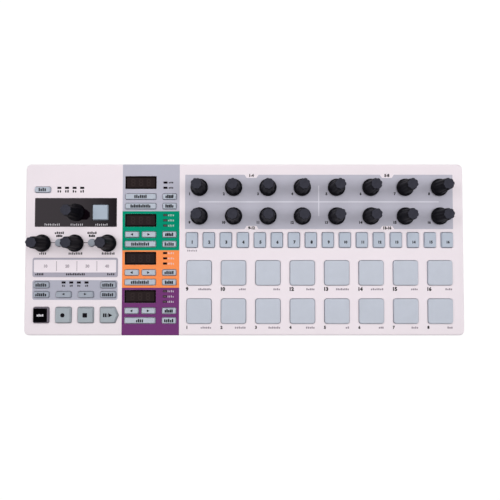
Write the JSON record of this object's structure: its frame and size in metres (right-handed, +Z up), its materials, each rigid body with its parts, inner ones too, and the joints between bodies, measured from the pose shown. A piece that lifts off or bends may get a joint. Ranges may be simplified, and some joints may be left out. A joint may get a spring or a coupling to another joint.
{
  "type": "midi pad controller",
  "caption": "Flat desktop music controller with rotary knobs, square drum pads, step keys, transport keys, small displays and rear jack sockets.",
  "frame": {"origin": "on the table under the middle of the case", "axes": "+X to the right along the case, +Y to the rear sockets, +Z up"},
  "size_m": [0.412, 0.161, 0.04],
  "materials": {
    "cover_plastic": "fine satin grain, warm white, with printed fields",
    "case_steel": "black powder coat",
    "foot_rubber": "matt",
    "screw_steel": "blackened",
    "spacer_brass": "plain",
    "circuit_board": "solder mask",
    "encoder_metal": "plated",
    "switch_plastic": "moulded",
    "sensor_film": "printed film",
    "socket_plastic": "moulded",
    "socket_shell": "plated",
    "display_window": "smoked, glossy",
    "tempo_panel": "black, polished",
    "strip_plastic": "satin, grey with a white field",
    "lamp_plastic": "dark, unlit",
    "key_rubber": "soft satin",
    "pad_rubber": "soft satin",
    "transport_rubber": "soft satin",
    "shift_rubber": "soft satin black",
    "knob_rubber": "soft-touch black"
  },
  "bodies": {
    "case": {"top_cover": "cover_plastic", "case_frame": "cover_plastic", "rear_panel": "case_steel", "base_plate": "case_steel", "rubber_feet": "foot_rubber", "case_screws": "screw_steel", "board_spacers": "spacer_brass", "main_board": "circuit_board", "encoder_bodies": "encoder_metal", "key_switches": "switch_plastic", "pad_sensor_sheet": "sensor_film", "jack_sockets": "socket_plastic", "usb_socket": "socket_shell", "display_windows": "display_window", "tempo_window": "tempo_panel", "display_modules": "switch_plastic", "touch_strip": "strip_plastic", "indicator_leds": "lamp_plastic"},
    "step_keys": {"step_keys": "key_rubber"},
    "column_keys": {"column_keys": "key_rubber"},
    "left_keys": {"left_keys": "key_rubber"},
    "shift_key": {"shift_key": "shift_rubber"},
    "transport_keys": {"transport_keys": "transport_rubber"},
    "tap_key": {"tap_key": "key_rubber"},
    "pad_01": {"pad_01": "pad_rubber"},
    "pad_02": {"pad_02": "pad_rubber"},
    "pad_03": {"pad_03": "pad_rubber"},
    "pad_04": {"pad_04": "pad_rubber"},
    "pad_05": {"pad_05": "pad_rubber"},
    "pad_06": {"pad_06": "pad_rubber"},
    "pad_07": {"pad_07": "pad_rubber"},
    "pad_08": {"pad_08": "pad_rubber"},
    "pad_09": {"pad_09": "pad_rubber"},
    "pad_10": {"pad_10": "pad_rubber"},
    "pad_11": {"pad_11": "pad_rubber"},
    "pad_12": {"pad_12": "pad_rubber"},
    "pad_13": {"pad_13": "pad_rubber"},
    "pad_14": {"pad_14": "pad_rubber"},
    "pad_15": {"pad_15": "pad_rubber"},
    "pad_16": {"pad_16": "pad_rubber"},
    "encoder_knob_01": {"encoder_knob_01": "knob_rubber"},
    "encoder_knob_02": {"encoder_knob_02": "knob_rubber"},
    "encoder_knob_03": {"encoder_knob_03": "knob_rubber"},
    "encoder_knob_04": {"encoder_knob_04": "knob_rubber"},
    "encoder_knob_05": {"encoder_knob_05": "knob_rubber"},
    "encoder_knob_06": {"encoder_knob_06": "knob_rubber"},
    "encoder_knob_07": {"encoder_knob_07": "knob_rubber"},
    "encoder_knob_08": {"encoder_knob_08": "knob_rubber"},
    "encoder_knob_09": {"encoder_knob_09": "knob_rubber"},
    "encoder_knob_10": {"encoder_knob_10": "knob_rubber"},
    "encoder_knob_11": {"encoder_knob_11": "knob_rubber"},
    "encoder_knob_12": {"encoder_knob_12": "knob_rubber"},
    "encoder_knob_13": {"encoder_knob_13": "knob_rubber"},
    "encoder_knob_14": {"encoder_knob_14": "knob_rubber"},
    "encoder_knob_15": {"encoder_knob_15": "knob_rubber"},
    "encoder_knob_16": {"encoder_knob_16": "knob_rubber"},
    "tempo_knob": {"tempo_knob": "knob_rubber"},
    "swing_knob": {"swing_knob": "knob_rubber"},
    "chance_knob": {"chance_knob": "knob_rubber"},
    "random_knob": {"random_knob": "knob_rubber"}
  },
  "joints": [
    {"name": "step_keys_press", "type": "slide", "parent": "case", "child": "step_keys", "axis": [0, 0, -1], "range_m": [0, 0.001], "stiffness_N_per_m": 1200, "springref_m": -0.001},
    {"name": "column_keys_press", "type": "slide", "parent": "case", "child": "column_keys", "axis": [0, 0, -1], "range_m": [0, 0.001], "stiffness_N_per_m": 1200, "springref_m": -0.001},
    {"name": "left_keys_press", "type": "slide", "parent": "case", "child": "left_keys", "axis": [0, 0, -1], "range_m": [0, 0.001], "stiffness_N_per_m": 1200, "springref_m": -0.001},
    {"name": "shift_key_press", "type": "slide", "parent": "case", "child": "shift_key", "axis": [0, 0, -1], "range_m": [0, 0.001], "stiffness_N_per_m": 300, "springref_m": -0.001},
    {"name": "transport_keys_press", "type": "slide", "parent": "case", "child": "transport_keys", "axis": [0, 0, -1], "range_m": [0, 0.001], "stiffness_N_per_m": 1200, "springref_m": -0.001},
    {"name": "tap_key_press", "type": "slide", "parent": "case", "child": "tap_key", "axis": [0, 0, -1], "range_m": [0, 0.001], "stiffness_N_per_m": 300, "springref_m": -0.001},
    {"name": "pad_01_press", "type": "slide", "parent": "case", "child": "pad_01", "axis": [0, 0, -1], "range_m": [0, 0.0008], "stiffness_N_per_m": 1500, "springref_m": -0.0005},
    {"name": "pad_02_press", "type": "slide", "parent": "case", "child": "pad_02", "axis": [0, 0, -1], "range_m": [0, 0.0008], "stiffness_N_per_m": 1500, "springref_m": -0.0005},
    {"name": "pad_03_press", "type": "slide", "parent": "case", "child": "pad_03", "axis": [0, 0, -1], "range_m": [0, 0.0008], "stiffness_N_per_m": 1500, "springref_m": -0.0005},
    {"name": "pad_04_press", "type": "slide", "parent": "case", "child": "pad_04", "axis": [0, 0, -1], "range_m": [0, 0.0008], "stiffness_N_per_m": 1500, "springref_m": -0.0005},
    {"name": "pad_05_press", "type": "slide", "parent": "case", "child": "pad_05", "axis": [0, 0, -1], "range_m": [0, 0.0008], "stiffness_N_per_m": 1500, "springref_m": -0.0005},
    {"name": "pad_06_press", "type": "slide", "parent": "case", "child": "pad_06", "axis": [0, 0, -1], "range_m": [0, 0.0008], "stiffness_N_per_m": 1500, "springref_m": -0.0005},
    {"name": "pad_07_press", "type": "slide", "parent": "case", "child": "pad_07", "axis": [0, 0, -1], "range_m": [0, 0.0008], "stiffness_N_per_m": 1500, "springref_m": -0.0005},
    {"name": "pad_08_press", "type": "slide", "parent": "case", "child": "pad_08", "axis": [0, 0, -1], "range_m": [0, 0.0008], "stiffness_N_per_m": 1500, "springref_m": -0.0005},
    {"name": "pad_09_press", "type": "slide", "parent": "case", "child": "pad_09", "axis": [0, 0, -1], "range_m": [0, 0.0008], "stiffness_N_per_m": 1500, "springref_m": -0.0005},
    {"name": "pad_10_press", "type": "slide", "parent": "case", "child": "pad_10", "axis": [0, 0, -1], "range_m": [0, 0.0008], "stiffness_N_per_m": 1500, "springref_m": -0.0005},
    {"name": "pad_11_press", "type": "slide", "parent": "case", "child": "pad_11", "axis": [0, 0, -1], "range_m": [0, 0.0008], "stiffness_N_per_m": 1500, "springref_m": -0.0005},
    {"name": "pad_12_press", "type": "slide", "parent": "case", "child": "pad_12", "axis": [0, 0, -1], "range_m": [0, 0.0008], "stiffness_N_per_m": 1500, "springref_m": -0.0005},
    {"name": "pad_13_press", "type": "slide", "parent": "case", "child": "pad_13", "axis": [0, 0, -1], "range_m": [0, 0.0008], "stiffness_N_per_m": 1500, "springref_m": -0.0005},
    {"name": "pad_14_press", "type": "slide", "parent": "case", "child": "pad_14", "axis": [0, 0, -1], "range_m": [0, 0.0008], "stiffness_N_per_m": 1500, "springref_m": -0.0005},
    {"name": "pad_15_press", "type": "slide", "parent": "case", "child": "pad_15", "axis": [0, 0, -1], "range_m": [0, 0.0008], "stiffness_N_per_m": 1500, "springref_m": -0.0005},
    {"name": "pad_16_press", "type": "slide", "parent": "case", "child": "pad_16", "axis": [0, 0, -1], "range_m": [0, 0.0008], "stiffness_N_per_m": 1500, "springref_m": -0.0005},
    {"name": "encoder_knob_01_turn", "type": "hinge", "parent": "case", "child": "encoder_knob_01", "pos_m": [-0.04225, 0.05825, 0.021], "axis": [0, 0, 1], "continuous": true},
    {"name": "encoder_knob_02_turn", "type": "hinge", "parent": "case", "child": "encoder_knob_02", "pos_m": [-0.01005, 0.05825, 0.021], "axis": [0, 0, 1], "continuous": true},
    {"name": "encoder_knob_03_turn", "type": "hinge", "parent": "case", "child": "encoder_knob_03", "pos_m": [0.02215, 0.05825, 0.021], "axis": [0, 0, 1], "continuous": true},
    {"name": "encoder_knob_04_turn", "type": "hinge", "parent": "case", "child": "encoder_knob_04", "pos_m": [0.05435, 0.05825, 0.021], "axis": [0, 0, 1], "continuous": true},
    {"name": "encoder_knob_05_turn", "type": "hinge", "parent": "case", "child": "encoder_knob_05", "pos_m": [0.08655, 0.05825, 0.021], "axis": [0, 0, 1], "continuous": true},
    {"name": "encoder_knob_06_turn", "type": "hinge", "parent": "case", "child": "encoder_knob_06", "pos_m": [0.11875, 0.05825, 0.021], "axis": [0, 0, 1], "continuous": true},
    {"name": "encoder_knob_07_turn", "type": "hinge", "parent": "case", "child": "encoder_knob_07", "pos_m": [0.15095, 0.05825, 0.021], "axis": [0, 0, 1], "continuous": true},
    {"name": "encoder_knob_08_turn", "type": "hinge", "parent": "case", "child": "encoder_knob_08", "pos_m": [0.18315, 0.05825, 0.021], "axis": [0, 0, 1], "continuous": true},
    {"name": "encoder_knob_09_turn", "type": "hinge", "parent": "case", "child": "encoder_knob_09", "pos_m": [-0.04225, 0.03125, 0.021], "axis": [0, 0, 1], "continuous": true},
    {"name": "encoder_knob_10_turn", "type": "hinge", "parent": "case", "child": "encoder_knob_10", "pos_m": [-0.01005, 0.03125, 0.021], "axis": [0, 0, 1], "continuous": true},
    {"name": "encoder_knob_11_turn", "type": "hinge", "parent": "case", "child": "encoder_knob_11", "pos_m": [0.02215, 0.03125, 0.021], "axis": [0, 0, 1], "continuous": true},
    {"name": "encoder_knob_12_turn", "type": "hinge", "parent": "case", "child": "encoder_knob_12", "pos_m": [0.05435, 0.03125, 0.021], "axis": [0, 0, 1], "continuous": true},
    {"name": "encoder_knob_13_turn", "type": "hinge", "parent": "case", "child": "encoder_knob_13", "pos_m": [0.08655, 0.03125, 0.021], "axis": [0, 0, 1], "continuous": true},
    {"name": "encoder_knob_14_turn", "type": "hinge", "parent": "case", "child": "encoder_knob_14", "pos_m": [0.11875, 0.03125, 0.021], "axis": [0, 0, 1], "continuous": true},
    {"name": "encoder_knob_15_turn", "type": "hinge", "parent": "case", "child": "encoder_knob_15", "pos_m": [0.15095, 0.03125, 0.021], "axis": [0, 0, 1], "continuous": true},
    {"name": "encoder_knob_16_turn", "type": "hinge", "parent": "case", "child": "encoder_knob_16", "pos_m": [0.18315, 0.03125, 0.021], "axis": [0, 0, 1], "continuous": true},
    {"name": "tempo_knob_turn", "type": "hinge", "parent": "case", "child": "tempo_knob", "pos_m": [-0.1584, 0.0348, 0.021], "axis": [0, 0, 1], "continuous": true},
    {"name": "swing_knob_turn", "type": "hinge", "parent": "case", "child": "swing_knob", "pos_m": [-0.1891, 0.0058, 0.021], "axis": [0, 0, 1], "continuous": true},
    {"name": "chance_knob_turn", "type": "hinge", "parent": "case", "child": "chance_knob", "pos_m": [-0.1584, 0.0058, 0.021], "axis": [0, 0, 1], "continuous": true},
    {"name": "random_knob_turn", "type": "hinge", "parent": "case", "child": "random_knob", "pos_m": [-0.1277, 0.0058, 0.021], "axis": [0, 0, 1], "continuous": true}
  ]
}
